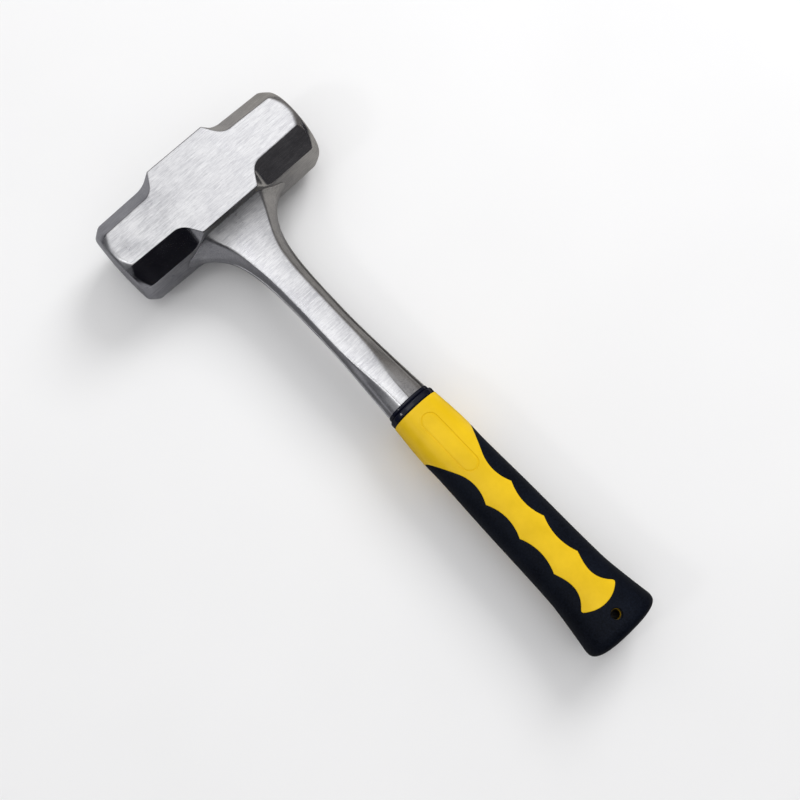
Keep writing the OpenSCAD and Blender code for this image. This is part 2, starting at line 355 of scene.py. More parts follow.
def shank_quarter(d, side):
    """Corners of a quarter of the section at distances d, as (x, z) from the middle; side is 1 or -1."""
    away = np.maximum(0, d - HALF_W)
    neck = np.exp(-away / NECK_DECAY)
    swell = np.maximum(0, (d - WAIST_END) / (SHANK_END - WAIST_END)) ** SWELL_POWER
    fade = np.exp(-((away / FLAT_DECAY) ** FLAT_POWER))
    w = SHANK_W / 2 + NECK_FLARE * neck + ROOT_FILLET * np.exp(-away / ROOT_DECAY) + SWELL_W * swell
    t = SHANK_T / 2 + NECK_THICKEN * neck + SWELL_T * swell
    f = (
        FLAT_W / 2
        + (BLOCK_HALF - FLAT_W / 2) * fade
        - FLAT_NARROWING * ease((d - FLAT_END) / (SHANK_END - FLAT_END))
        + side * FLAT_SHIFT * ease((away - SHIFT_START) / SHIFT_LENGTH)
    )
    drop = w - f
    share = BREAK_SHARE - BREAK_FADE * fade
    flash = FLASH_H * ease((d - FLASH_START) / FLASH_LENGTH)
    x = np.stack([w, w - flash, w - flash - SIDE_LEAN * drop, f + share * drop,
                  f + EDGE_SHARE * share * drop, f - CROWN_IN, LEVEL_SHARE * f], -1)
    z = np.stack([np.full_like(d, FLASH_W), np.full_like(d, FLASH_FOOT * FLASH_W), SIDE_HEIGHT * t,
                  (BREAK_HEIGHT + BREAK_SWELL * swell) * t, t - EDGE_DOWN, t - CROWN_DOWN, t], -1)
    return np.stack([x, z], -1)


def rounded(points, soft, steps=4, middles=1):
    """Rounds the corners of closed sections, an array of rows by corners by 2."""
    before = np.roll(points, 1, 1) - points
    after = np.roll(points, -1, 1) - points
    lb = np.linalg.norm(before, axis=-1, keepdims=True)
    la = np.linalg.norm(after, axis=-1, keepdims=True)
    soft = np.asarray(soft, float)[None, :, None]
    a = points + before / lb * np.minimum(soft, 0.45 * lb)
    c = points + after / la * np.minimum(soft, 0.45 * la)
    out = []
    n = points.shape[1]
    for k in range(n):
        for u in np.linspace(0, 1, steps + 1):
            out.append((1 - u) ** 2 * a[:, k] + 2 * u * (1 - u) * points[:, k] + u * u * c[:, k])
        follow = a[:, (k + 1) % n]
        for m in range(middles):
            u = (m + 1) / (middles + 1)
            out.append(c[:, k] * (1 - u) + follow * u)
    return np.stack(out, 1)


# How far the neck reaches into the block, and how much narrower and lower it ends there
ROOT_SUNK, ROOT_WIDTH, ROOT_HEIGHT = 6.0, 0.5, 0.6


def shank_rings(stations):
    right, left = shank_quarter(stations, 1), shank_quarter(stations, -1)
    section = np.concatenate([
        right,
        (left * [-1, 1])[:, ::-1],
        -left,
        (right * [1, -1])[:, ::-1],
    ], 1)
    soft = SECTION_SOFT + SECTION_SOFT[::-1] + SECTION_SOFT + SECTION_SOFT[::-1]
    ring = rounded(section, soft)
    y = np.broadcast_to(-stations[:, None], ring.shape[:2])
    return np.stack([ring[..., 0], y, MID_Z + ring[..., 1]], -1)


def build_shank():
    root = np.concatenate([[HALF_W - ROOT_SUNK, HALF_W - 2 * CLEARANCE], HALF_W + np.arange(0.25, 10, 0.4)])
    stations = np.concatenate([root, np.arange(30.5, 60, 1.0), np.arange(61.5, SHANK_END - 1, 2.0),
                               [SHANK_END]])
    rings = shank_rings(stations)
    # The part inside the block keeps clear of its faces
    rings[0, :, 0] *= ROOT_WIDTH
    rings[0, :, 2] = MID_Z + (rings[0, :, 2] - MID_Z) * ROOT_HEIGHT
    return capped_loft("neck", rings)


TANG_W = 16.0
TANG_T = 10.0
NOTCH_R = 4.0
NOTCH_DEPTH = 2.5
NOTCH_PLACES = (170, 200, 230)
TANG_ROOT = 4.0
NOTCH_POINTS = 17


def build_tang(grow=0.0):
    """Hidden bar with round notches in its edges, or the pocket for it when it is grown."""
    half = TANG_W / 2 + grow
    edge = [(half, SHANK_END - TANG_ROOT)]
    reach = math.acos((NOTCH_R - NOTCH_DEPTH) / NOTCH_R)
    for d in NOTCH_PLACES:
        for a in np.linspace(-reach, reach, NOTCH_POINTS):
            edge.append((TANG_W / 2 + NOTCH_R - NOTCH_DEPTH - NOTCH_R * math.cos(a) + grow,
                         d + NOTCH_R * math.sin(a)))
    edge.append((half, TANG_END + grow))
    outline = edge + [(-x, d) for x, d in reversed(edge)]
    rings = np.array([[(x, -d, z) for x, d in outline]
                      for z in (MID_Z - TANG_T / 2 - grow, MID_Z + TANG_T / 2 + grow)])
    n = len(outline)
    verts = rings.reshape(-1, 3)
    faces = grid_faces(2, n) + [list(range(n)), list(range(n, 2 * n))]
    return new_object("tang", verts, faces)


# ---------------------------------------------------------------- grip
FLATNESS = 0.87
OVAL_POWER = 2.3
SKIN = 2.0
BUTT_ROUND = 6.0
BUTT_POWER = 3.2
BUTT_WALL = 3.0
END_DRAW = 1.5
# Rows of the core's end, as shares of its length, and how many rows the rounded butt has
BUTT_SHARES = (0.4, 0.75, 1.0)
BUTT_ROWS = 16
# Half width of the grip at distances from the head's axis
PROFILE = np.array([
    [GRIP_START, 12.5], [160, 13.8], [172, 13.7], [200, 14.5], [245, 15.5], [258, 16.9],
    [GRIP_END - BUTT_ROUND, 18.8],
])
# Half width of the yellow window: a straight throat, three scallops, then a fan with rounded tips
THROAT = (163.0, 14.0)
CUSPS = ((178.0, 7.0), (195.2, 7.85), (215.8, 7.45), (236.6, 7.25))
SCALLOPS = (1.98, 2.43, 2.26)
FLARE_LENGTH, FLARE_GAIN = 19.4, 3.15
FLARE_DIP, FLARE_SKEW = 2.55, 2.4
FAN_D, FAN_R = 244.6, 15.6
FAN_END = FAN_D + FAN_R
TIP_SOFT = 2.4


def grip_half(d):
    """Half width of the grip at distance d, smooth through the points of its profile."""
    d = np.asarray(d, float)
    n = len(PROFILE)
    slopes = np.zeros(n)
    for i in range(n):
        a, b = PROFILE[max(0, i - 1)], PROFILE[min(n - 1, i + 1)]
        slopes[i] = (b[1] - a[1]) / (b[0] - a[0])
    i = np.clip(np.searchsorted(PROFILE[:, 0], d, side="right") - 1, 0, n - 2)
    h = PROFILE[i + 1, 0] - PROFILE[i, 0]
    u = np.clip((d - PROFILE[i, 0]) / h, 0, 1)
    v = 1 - u
    return (
        PROFILE[i, 1] * (1 + 2 * u) * v * v + slopes[i] * h * u * v * v
        + PROFILE[i + 1, 1] * u * u * (3 - 2 * u) - slopes[i + 1] * h * u * u * v
    )


def window_half(d):
    """Half width of the yellow window at distance d, zero past the fan."""
    d = np.asarray(d, float)
    (d0, x0), (d1, x1) = THROAT, CUSPS[0]
    out = x0 + (x1 - x0) * (d - d0) / (d1 - d0)
    for (d0, x0), (d1, x1), dip in zip(CUSPS[:-1], CUSPS[1:], SCALLOPS):
        u = (d - d0) / (d1 - d0)
        inside = (u >= 0) & (u <= 1)
        out = np.where(inside, x0 + (x1 - x0) * u - 4 * dip * u * (1 - u), out)
    last_d, last_x = CUSPS[-1]
    u = (d - last_d) / FLARE_LENGTH
    flare = last_x + FLARE_GAIN * u - 4 * (FLARE_DIP + FLARE_SKEW * u) * u * (1 - u)
    fan = np.sqrt(np.maximum(FAN_R**2 - (d - FAN_D) ** 2, 0))
    out = np.where(d > last_d, smooth_min(flare, fan, TIP_SOFT), out)
    return np.where(d < FAN_END, out, 0.0)


def along_border(start, stop, step):
    """Distances from start to stop that are evenly spaced along the window's edge."""
    d = stop - (stop - start) * np.linspace(1, 0, 4000) ** 2
    s = np.concatenate([[0], np.cumsum(np.hypot(np.diff(d), np.diff(window_half(d))))])
    return np.interp(np.linspace(0, s[-1], max(2, round(s[-1] / step))), s, d)


def oval(half, a, inset):
    """Point of the grip's oval section at angle a, drawn in by inset."""
    c, s = np.cos(a), np.sin(a)
    x = (half - inset) * np.sign(c) * np.abs(c) ** (2 / OVAL_POWER)
    z = (half * FLATNESS - inset) * np.sign(s) * np.abs(s) ** (2 / OVAL_POWER)
    return x, z


def surface_z(x, d, inset=0.0):
    """Height of the grip's upper surface above the middle, at x and d."""
    half = grip_half(d)
    u = np.clip(np.abs(x) / (half - inset), 0, 1)
    return (half * FLATNESS - inset) * (1 - u**OVAL_POWER) ** (1 / OVAL_POWER)


# Spacing of the grid's lines beside the border of black and yellow, near it in millimetres and far from it
# in shares, and the room on either side at which the near lines keep their full spacing
BLACK_NEAR = np.array([0, 0.07, 0.15, 0.26, 0.4, 0.6, 0.9, 1.4])
BLACK_FAR = np.linspace(0, 1, 15)[1:]
YELLOW_NEAR = np.array([0, 0.05, 0.1, 0.17, 0.27, 0.42, 0.8])
YELLOW_FAR = np.linspace(0, 1, 11)[1:]
FULL_BLACK, FULL_YELLOW = 3.0, 2.0
JOINT_GAP = 0.03
# How deep each side rolls over at the border, and over what distance
BLACK_STEP, BLACK_ROLL = 0.32, 0.75
YELLOW_STEP, YELLOW_ROLL = 0.14, 0.4
quarter_angles = np.linspace(0, math.pi / 2, 721)


def grip_columns(d):
    """Angles of the grid's lines over one quarter at distance d: black ones, then yellow ones."""
    half = float(grip_half(d))
    x, z = oval(half, quarter_angles, 0.0)
    s = np.concatenate([[0], np.cumsum(np.hypot(np.diff(x), np.diff(z)))])
    w = float(window_half(d))
    if w >= half:
        border = 0.0
    else:
        angle = math.acos(min(1.0, w / half) ** (OVAL_POWER / 2))
        border = float(np.interp(angle, quarter_angles, s))
    total = s[-1]
    black_room = max(border - JOINT_GAP, 0.0)
    near = BLACK_NEAR * min(1.0, black_room / FULL_BLACK)
    black = black_room - np.concatenate([near, near[-1] + (black_room - near[-1]) * BLACK_FAR])
    start = min(border + JOINT_GAP, total) if border > 0 else 0.0
    room = total - start
    near = YELLOW_NEAR * min(1.0, room / FULL_YELLOW)
    yellow = start + np.concatenate([near, near[-1] + (room - near[-1]) * YELLOW_FAR])
    return np.interp(black[::-1], s, quarter_angles), np.interp(yellow, s, quarter_angles), border


# Distance past which the stations follow the fan's edge
FLARE_MID = 252.0
TIP_ROUNDS = 20
# Stations close together past the throat's tip, round each cusp and past the fan
TIP_CLUSTER = np.array([0.02, 0.06, 0.12, 0.2, 0.32, 0.5, 0.75, 1.1, 1.6, 2.2, 3.0])
CUSP_CLUSTER = np.array([-0.9, -0.55, -0.3, -0.14, 0, 0.14, 0.3, 0.55, 0.9])
FAN_CLUSTER = np.array([0.03, 0.08, 0.15, 0.26, 0.4, 0.6, 0.9, 1.4, 2.0])


def grip_stations():
    """Distances of the grid's rows down the grip, and where the black panels begin."""
    tip = THROAT[0] + 0.5
    for _ in range(TIP_ROUNDS):
        tip = tip + (float(window_half(tip)) - float(grip_half(tip))) * 0.5
    ds = [np.linspace(GRIP_START, tip - 0.3, 30), [tip - 0.12, tip]]
    ds.append(tip + TIP_CLUSTER)
    ds.append(np.arange(tip + 3.6, CUSPS[1][0] - 1.2, 0.8))
    ends = [d for d, _ in CUSPS[1:]] + [FLARE_MID]
    for start, stop in zip(ends[:-1], ends[1:]):
        ds.append(start + CUSP_CLUSTER)
        ds.append(np.arange(start + 1.4, stop - 1.2, 0.7))
    ds.append(along_border(FLARE_MID - 0.7, FAN_END, 0.3))
    ds.append(FAN_END + FAN_CLUSTER)
    ds.append(np.arange(FAN_END + 2.7, GRIP_END - BUTT_ROUND - 0.3, 0.7))
    ds.append([GRIP_END - BUTT_ROUND])
    return np.unique(np.round(np.concatenate(ds), 5)), tip


def full_circle(quarter):
    """Angles over a quarter, from the side to the top, carried round the whole section."""
    half_turn = np.concatenate([quarter, (math.pi - quarter)[::-1]])
    return np.concatenate([half_turn, half_turn + math.pi])


stations, throat_tip = grip_stations()
columns = [grip_columns(d) for d in stations]
n_black, n_yellow = len(columns[0][0]), len(columns[0][1])
quarter_black = np.arange(n_black + n_yellow) < n_black
is_black_column = np.concatenate([quarter_black, quarter_black[::-1]] * 2)
angles = np.array([full_circle(np.concatenate([b, y])) for b, y, _ in columns])
borders = np.array([c[2] for c in columns])
halves = grip_half(stations)


BORDER_STEP = 0.02


def border_tree():
    """The line between yellow and black, on both sides of the grip, for distances from it."""
    points = []
    ds = np.concatenate([np.arange(throat_tip, FLARE_MID, BORDER_STEP),
                         along_border(FLARE_MID, FAN_END, BORDER_STEP)])
    w = window_half(ds)
    z = surface_z(w, ds)
    for sx in (-1, 1):
        for sz in (-1, 1):
            points.append(np.stack([sx * w, -ds, MID_Z + sz * z], -1))
    points = np.concatenate(points)
    tree = KDTree(len(points))
    for k, p in enumerate(points):
        tree.insert(p, k)
    tree.balance()
    return tree


def ring_points(ds, half, a, inset):
    x, z = oval(half, a, inset)
    y = np.broadcast_to(-np.asarray(ds)[:, None], x.shape)
    return np.stack([x, y, MID_Z + z], -1)


full = ring_points(stations, halves[:, None], angles, 0.0)
tree = border_tree()
near_border = np.array([tree.find(Vector(p))[2] for p in full.reshape(-1, 3)]).reshape(full.shape[:2])
roll_black = BLACK_STEP * np.clip(1 - near_border / BLACK_ROLL, 0, 1) ** 2
roll_yellow = YELLOW_STEP * np.clip(1 - near_border / YELLOW_ROLL, 0, 1) ** 2


def build_core():
    inset = np.where(is_black_column[None, :], SKIN, roll_yellow)
    inset = np.where(borders[:, None] <= 0, 0.0, inset)
    inset = np.where((stations > FAN_END)[:, None], SKIN, inset)
    rings = ring_points(stations, halves[:, None], angles, inset)
    last = GRIP_END - BUTT_ROUND
    tail = []
    for u in BUTT_SHARES:
        d = last + (GRIP_END - BUTT_WALL - last) * u
        tail.append(ring_points([d], halves[-1:, None], angles[-1:], SKIN + END_DRAW * u)[0])
    return capped_loft("core", np.concatenate([rings, np.array(tail)]))


def build_overmould():
    """Soft skin: outer and inner surface of the black columns, with walls along its border."""
    rows, cols = angles.shape
    outer = ring_points(stations, halves[:, None], angles, roll_black)
    inner = ring_points(stations, halves[:, None], angles, SKIN - CLEARANCE)
    butt_outer, butt_inner = [], []
    for f in np.linspace(0, math.pi / 2, BUTT_ROWS)[1:-1]:
        d = GRIP_END - BUTT_ROUND + BUTT_ROUND * math.sin(f) ** (2 / BUTT_POWER)
        share = math.cos(f) ** (2 / BUTT_POWER)
        butt_outer.append(ring_points([d], halves[-1:, None] * share, angles[-1:], 0.0)[0])
    last = GRIP_END - BUTT_ROUND
    for u in BUTT_SHARES:
        d = last + (GRIP_END - BUTT_WALL - last) * u
        depth_in = SKIN - CLEARANCE + END_DRAW * u
        butt_inner.append(ring_points([d], halves[-1:, None], angles[-1:], depth_in)[0])
    black_row = stations[:-1] >= throat_tip - 1e-6
    past_fan = stations[:-1] >= FAN_END - 1e-6
    quad_black = is_black_column & np.roll(is_black_column, -1)
    present = black_row[:, None] & (quad_black[None, :] | past_fan[:, None])
    verts = [outer.reshape(-1, 3), inner.reshape(-1, 3), np.array(butt_outer).reshape(-1, 3),
             np.array(butt_inner).reshape(-1, 3)]
    inner_at = rows * cols
    butt_outer_at = 2 * rows * cols
    butt_inner_at = butt_outer_at + len(butt_outer) * cols
    faces = []
    for i in range(rows - 1):
        for j in range(cols):
            if not present[i, j]:
                continue
            k = (j + 1) % cols
            a, b, c, d = i * cols + j, i * cols + k, (i + 1) * cols + k, (i + 1) * cols + j
            faces.append([a, b, c, d])
            faces.append([inner_at + d, inner_at + c, inner_at + b, inner_at + a])
            if not present[i, (j - 1) % cols]:
                faces.append([a, d, inner_at + d, inner_at + a])
            if not present[i, k]:
                faces.append([c, b, inner_at + b, inner_at + c])
            if i == 0 or not present[i - 1, j]:
                faces.append([b, a, inner_at + a, inner_at + b])
    for start, extra, count, flip in ((0, butt_outer_at, len(butt_outer), False),
                                      (inner_at, butt_inner_at, len(butt_inner), True)):
        chain = [start + (rows - 1) * cols] + [extra + m * cols for m in range(count)]
        for p, q in zip(chain[:-1], chain[1:]):
            for j in range(cols):
                k = (j + 1) % cols
                quad = [p + j, p + k, q + k, q + j]
                faces.append(quad[::-1] if flip else quad)
        cap = [chain[-1] + j for j in range(cols)]
        faces.append(cap[::-1] if flip else cap)
    return new_object("skin", np.concatenate(verts), faces)


# ---------------------------------------------------------------- collar
COLLAR_TIER = 1.9
COLLAR_WIDE = collar_high[0]
COLLAR_NARROW = 11.3
BEAD_ROUND = 0.8
COLLAR_SIDES = 160


def build_collar():
    """Stepped ring: a narrow tier, a fine groove and a rounded bead, as [distance, half width]."""
    split = SHANK_END + COLLAR_TIER
    profile = [
        (SHANK_END, COLLAR_NARROW - 0.45), (SHANK_END + 0.06, COLLAR_NARROW - 0.2),
        (SHANK_END + 0.2, COLLAR_NARROW - 0.06), (SHANK_END + 0.4, COLLAR_NARROW),
        (split - 0.45, COLLAR_NARROW), (split - 0.28, COLLAR_NARROW - 0.08),
        (split - 0.16, COLLAR_NARROW - 0.35), (split, COLLAR_NARROW - 0.45),
        (split + 0.1, COLLAR_NARROW - 0.3), (split + 0.14, COLLAR_NARROW + 0.35),
    ]
    bead_start, bead_foot = profile[-1]
    for a in np.linspace(0, math.pi / 2, 7)[1:]:
        profile.append((bead_start + BEAD_ROUND * (1 - math.cos(a)),
                        bead_foot + (COLLAR_WIDE - bead_foot) * math.sin(a)))
    profile += [(GRIP_START - 1.1, COLLAR_WIDE), (GRIP_START - 0.5, COLLAR_WIDE - 0.06),
                (GRIP_START - 0.2, COLLAR_WIDE - 0.2), (GRIP_START, COLLAR_WIDE - 0.5)]
    a = np.arange(COLLAR_SIDES) * 2 * math.pi / COLLAR_SIDES
    rings = np.array([ring_points([d], np.array([[half]]), a[None, :], 0.0)[0] for d, half in profile])
    return capped_loft("collar_ring", rings, 50)


# ---------------------------------------------------------------- cutters
HOLE_R = mounts["lanyard_hole"]["dims"]["r_mm"]
HOLE_D = -mounts["lanyard_hole"]["pos_m"][1] / MM
HOLE_LIP = 0.3
LIP_ROUND = 0.5
HOLE_SIDES = 72
# The hole's tool reaches this far out of the grip
TOOL_RISE = 3.0
LABEL_TOP, LABEL_BOTTOM, LABEL_HALF = 147.4, 181.0, 4.3
LABEL_ROWS, LABEL_TURN = 50, 29
# Section of the label's recess from its edge inwards, as [distance from the edge, depth]
LABEL_SECTION = ((0.0, -0.1), (0.02, 0.0), (0.1, 0.2), (0.2, 0.28), (0.34, 0.28), (0.46, 0.2),
                 (0.6, 0.13), (1.2, 0.12), (2.4, 0.12), (LABEL_HALF, 0.12))


def hole_cutter(radius, flare):
    """Bore through the butt whose two mouths follow the grip's surface."""
    a = (np.arange(HOLE_SIDES) + 0.5) * 2 * math.pi / HOLE_SIDES
    rings = []
    lip = [(flare, TOOL_RISE), (flare, 2 * CLEARANCE)]
    for t in np.linspace(0.12, math.pi / 2, 8):
        lip.append((flare * (1 - math.sin(t)), -flare * (1 - math.cos(t))))
    for side in (-1, 1):
        part = []
        for grow, dz in lip:
            x = (radius + grow) * np.cos(a)
            d = HOLE_D + (radius + grow) * np.sin(a)
            z = MID_Z + side * (surface_z(x, d) + dz)
            part.append(np.stack([x, -d, z], -1))
        rings += part if side < 0 else part[::-1]
    return capped_loft("hole_tool", np.array(rings))


def label_cutter():
    """Shallow recess with a fine groove round it, for the blank label panel on the upper side."""
    ends = (LABEL_TOP + LABEL_HALF, LABEL_BOTTOM - LABEL_HALF)
    side = np.linspace(ends[0], ends[1], LABEL_ROWS)
    turn = np.linspace(0, math.pi, LABEL_TURN + 2)[1:-1]
    one, none = np.ones(LABEL_ROWS), np.zeros(LABEL_ROWS)
    spine = np.concatenate([side, np.full(LABEL_TURN, ends[1]), side[::-1], np.full(LABEL_TURN, ends[0])])
    across = np.concatenate([one, np.cos(turn), -one, -np.cos(turn)])
    along = np.concatenate([none, np.sin(turn), none, -np.sin(turn)])
    rings = []
    for inwards, depth in LABEL_SECTION:
        x = (LABEL_HALF - inwards) * across
        d = spine + (LABEL_HALF - inwards) * along
        rings.append(np.stack([x, -d, MID_Z + surface_z(x, d) - depth], -1))
    lid_ring = rings[0].copy()
    lid_ring[:, 2] = 2 * HALF_W
    rings.insert(0, lid_ring)
    rows, columns = len(rings), len(spine)
    lid = [list(range(columns))]
    return new_object("label_tool", np.concatenate(rings), grid_faces(rows, columns) + lid)


# ---------------------------------------------------------------- materials
# Darkest and lightest tone of each
STEEL = ((0.46, 0.46, 0.48), (0.75, 0.75, 0.76))
YELLOW = ((0.75, 0.477, 0.003), (0.835, 0.54, 0.008))
BLACK = ((0.0016, 0.0024, 0.0050), (0.0058, 0.0082, 0.0155))
COLLAR = ((0.002, 0.0028, 0.009), (0.003, 0.004, 0.013))
FLOOR = ((0.86, 0.86, 0.86), (0.88, 0.88, 0.88))
# Painted shade colour for the inside of the lanyard hole
BORE_SHADE = (0.012, 0.009, 0.003)


class Nodes:
    """Short calls for building a material's nodes."""

    def __init__(self, name):
        self.material = bpy.data.materials.new(name)
        self.material.use_nodes = True
        self.tree = self.material.node_tree
        self.shader = self.tree.nodes["Principled BSDF"]
        self.place = self.tree.nodes.new("ShaderNodeTexCoord").outputs["Object"]

    def link(self, source, target):
        self.tree.links.new(source, target)

    def node(self, kind, **settings):
        made = self.tree.nodes.new(kind)
        for key, value in settings.items():
            setattr(made, key, value)
        return made

    def math(self, operation, a, b=0.0):
        made = self.node("ShaderNodeMath", operation=operation)
        for socket, value in zip(made.inputs, (a, b)):
            if isinstance(value, (int, float)):
                socket.default_value = value
            else:
                self.link(value, socket)
        return made.outputs[0]

    def blend(self, a, b, share):
        """Sum of the share of a and the rest of b."""
        return self.math("ADD", self.math("MULTIPLY", a, share), self.math("MULTIPLY", b, 1 - share))

    def scaled(self, scale, place=None):
        made = self.node("ShaderNodeVectorMath", operation="MULTIPLY")
        self.link(place or self.place, made.inputs[0])
        made.inputs[1].default_value = scale
        return made.outputs[0]

    def noise(self, scale, detail, rough, place=None):
        """Noise with the given number of features per metre along x, y and z."""
        made = self.node("ShaderNodeTexNoise")
        self.link(self.scaled(scale, place), made.inputs["Vector"])
        made.inputs["Scale"].default_value = 1.0
        made.inputs["Detail"].default_value = detail
        made.inputs["Roughness"].default_value = rough
        return made.outputs["Fac"]

    def spread(self, value, low, high, to_low, to_high):
        """Value carried from the range low to high over to the range to_low to to_high."""
        made = self.node("ShaderNodeMapRange")
        self.link(value, made.inputs["Value"])
        for key, number in zip(("From Min", "From Max", "To Min", "To Max"), (low, high, to_low, to_high)):
            made.inputs[key].default_value = number
        return made.outputs["Result"]

    def band(self, value, low, high, soft):
        """1 between low and high, falling to 0 over the distance soft on either side."""
        return self.math("MULTIPLY", self.spread(value, low - soft, low, 0.0, 1.0),
                         self.spread(value, high, high + soft, 1.0, 0.0))

    def mix(self, factor, a, b):
        """Mix of two numbers, each a socket or a number."""
        made = self.node("ShaderNodeMix", data_type="FLOAT")
        for socket, value in ((made.inputs[0], factor), (made.inputs[2], a), (made.inputs[3], b)):
            if isinstance(value, (int, float)):
                socket.default_value = value
            else:
                self.link(value, socket)
        return made.outputs[0]

    def mix_colour(self, factor, a, b):
        made = self.node("ShaderNodeMix", data_type="RGBA")
        for socket, value in ((made.inputs[0], factor), (made.inputs[6], a), (made.inputs[7], b)):
            if isinstance(value, (int, float)):
                socket.default_value = value
            elif isinstance(value, tuple):
                socket.default_value = (*value, 1)
            else:
                self.link(value, socket)
        return made.outputs[2]

    def bump(self, height, strength, distance):
        made = self.node("ShaderNodeBump")
        made.inputs["Strength"].default_value = strength
        made.inputs["Distance"].default_value = distance
        self.link(height, made.inputs["Height"])
        self.link(made.outputs["Normal"], self.shader.inputs["Normal"])

    def axes(self, place=None):
        made = self.node("ShaderNodeSeparateXYZ")
        self.link(place or self.place, made.inputs[0])
        return made.outputs


def steel_material():
    """Brushed steel: strokes along the head and across the shank, rings on the faces, smooth chamfers."""
    n = Nodes("brushed_steel")
    x, y, z = n.axes()
    # The striking faces begin here, and the head ends here on the shank's side
    on_face = n.spread(n.math("ABSOLUTE", x), 0.0515, 0.0535, 0.0, 1.0)
    on_head = n.spread(y, -0.0206, -0.0198, 0.0, 1.0)
    up = n.math("SUBTRACT", z, MID_Z * MM)
    radius = n.math("SQRT", n.math("ADD", n.math("MULTIPLY", y, y), n.math("MULTIPLY", up, up)))
    ring_place = n.node("ShaderNodeCombineXYZ")
    n.link(radius, ring_place.inputs[0])
    rings = n.noise((1900, 1900, 1900), 4, 0.6, ring_place.outputs[0])
    strokes = n.noise((150, 2600, 2600), 6, 0.8)
    fine = n.mix(on_face, strokes, rings)
    drag = n.noise((90, 800, 800), 4, 0.65)
    frost = n.noise((520, 900, 900), 5, 0.7)
    cloud = n.noise((95, 75, 75), 4, 0.6)
    # The long chamfers are ground smoother than the rest
    facing = n.node("ShaderNodeNewGeometry")
    _, normal_y, normal_z = n.axes(facing.outputs["Normal"])
    cross = n.math("ADD", n.math("MULTIPLY", normal_y, normal_y), n.math("MULTIPLY", normal_z, normal_z))
    slant = n.math("DIVIDE", n.math("ABSOLUTE", n.math("MULTIPLY", normal_y, normal_z)), cross)
    smooth = n.math("MULTIPLY", n.spread(slant, 0.36, 0.46, 0.0, 1.0), on_head)
    tone = n.math("ADD", n.math("MULTIPLY", fine, 0.5),
                  n.math("ADD", n.math("MULTIPLY", drag, 0.15),
                         n.math("ADD", n.math("MULTIPLY", frost, 0.1), n.math("MULTIPLY", cloud, 0.25))))
    colour = n.mix_colour(n.spread(tone, 0.43, 0.57, 0.0, 1.0), *STEEL)
    n.link(colour, n.shader.inputs["Base Color"])
    mottle = n.blend(frost, cloud, 0.4)
    rough = n.mix(smooth, n.spread(mottle, 0.36, 0.64, 0.27, 0.38), n.spread(mottle, 0.38, 0.62, 0.13, 0.17))
    n.link(rough, n.shader.inputs["Roughness"])
    n.shader.inputs["Metallic"].default_value = 1.0
    n.shader.inputs["Anisotropic"].default_value = 0.4
    across = n.node("ShaderNodeTangent", direction_type="RADIAL", axis="X")
    n.link(across.outputs[0], n.shader.inputs["Tangent"])
    relief = n.blend(fine, drag, 0.6)
    n.bump(n.math("MULTIPLY", relief, n.spread(smooth, 0.0, 1.0, 1.0, 0.08)), 0.1, 0.0001)
    return n.material


def yellow_material():
    """Glossy yellow plastic, with painted shade darkening the inside of the lanyard hole."""
    n = Nodes("gloss_plastic")
    grain = n.noise((2600, 2600, 2600), 3, 0.5)
    cloud = n.noise((70, 70, 70), 4, 0.6)
    clean = n.mix_colour(n.spread(cloud, 0.35, 0.65, 0.0, 1.0), *YELLOW)
    x, y, z = n.axes()
    along = n.math("ADD", y, HOLE_D * MM)
    radius = n.math("SQRT", n.math("ADD", n.math("MULTIPLY", x, x), n.math("MULTIPLY", along, along)))
    depth = n.math("ABSOLUTE", n.math("SUBTRACT", z, MID_Z * MM))
    in_bore = n.spread(radius, (HOLE_R + 0.4) * MM, (HOLE_R + 0.5) * MM, 1.0, 0.0)
    # Painted shade in the hole: lighter at its rim than in its depth
    rim = n.band(depth, 0.0113, 0.0132, 0.0005)
    painted_bore_shade = n.math("MULTIPLY", in_bore, n.spread(rim, 0.0, 1.0, 1.0, 0.3))
    colour = n.mix_colour(painted_bore_shade, clean, BORE_SHADE)
    n.link(colour, n.shader.inputs["Base Color"])
    rough = n.spread(n.blend(grain, cloud, 0.4), 0.35, 0.65, 0.34, 0.44)
    n.link(rough, n.shader.inputs["Roughness"])
    n.shader.inputs["Specular IOR Level"].default_value = 0.24
    n.bump(grain, 0.1, 0.00008)
    return n.material


def black_material():
    """Soft blue-black skin with a fine speckled grain."""
    n = Nodes("soft_grip")
    grain = n.noise((1500, 1500, 1500), 4, 0.6)
    cloud = n.noise((55, 55, 55), 4, 0.6)
    speckle = n.blend(grain, cloud, 0.7)
    colour = n.mix_colour(n.spread(speckle, 0.38, 0.62, 0.0, 1.0), *BLACK)
    n.link(colour, n.shader.inputs["Base Color"])
    rough = n.spread(n.blend(grain, cloud, 0.5), 0.35, 0.65, 0.46, 0.6)
    n.link(rough, n.shader.inputs["Roughness"])
    n.shader.inputs["Specular IOR Level"].default_value = 0.09
    n.bump(grain, 0.5, 0.0002)
    return n.material


def collar_material():
    """Glossier blue-black rubber."""
    n = Nodes("collar_rubber")
    grain = n.noise((1100, 1100, 1100), 3, 0.5)
    cloud = n.noise((150, 150, 150), 3, 0.6)
    colour = n.mix_colour(n.spread(cloud, 0.35, 0.65, 0.0, 1.0), *COLLAR)
    n.link(colour, n.shader.inputs["Base Color"])
    rough = n.spread(n.blend(grain, cloud, 0.4), 0.35, 0.65, 0.08, 0.16)
    n.link(rough, n.shader.inputs["Roughness"])
    n.shader.inputs["Specular IOR Level"].default_value = 0.28
    n.bump(grain, 0.12, 0.00006)
    return n.material


def floor_material():
    """Plain matt floor."""
    n = Nodes("floor")
    cloud = n.noise((9, 9, 9), 2, 0.5)
    colour = n.mix_colour(n.spread(cloud, 0.3, 0.7, 0.0, 1.0), *FLOOR)
    n.link(colour, n.shader.inputs["Base Color"])
    n.shader.inputs["Roughness"].default_value = 0.9
    n.shader.inputs["Specular IOR Level"].default_value = 0.1
    return n.material


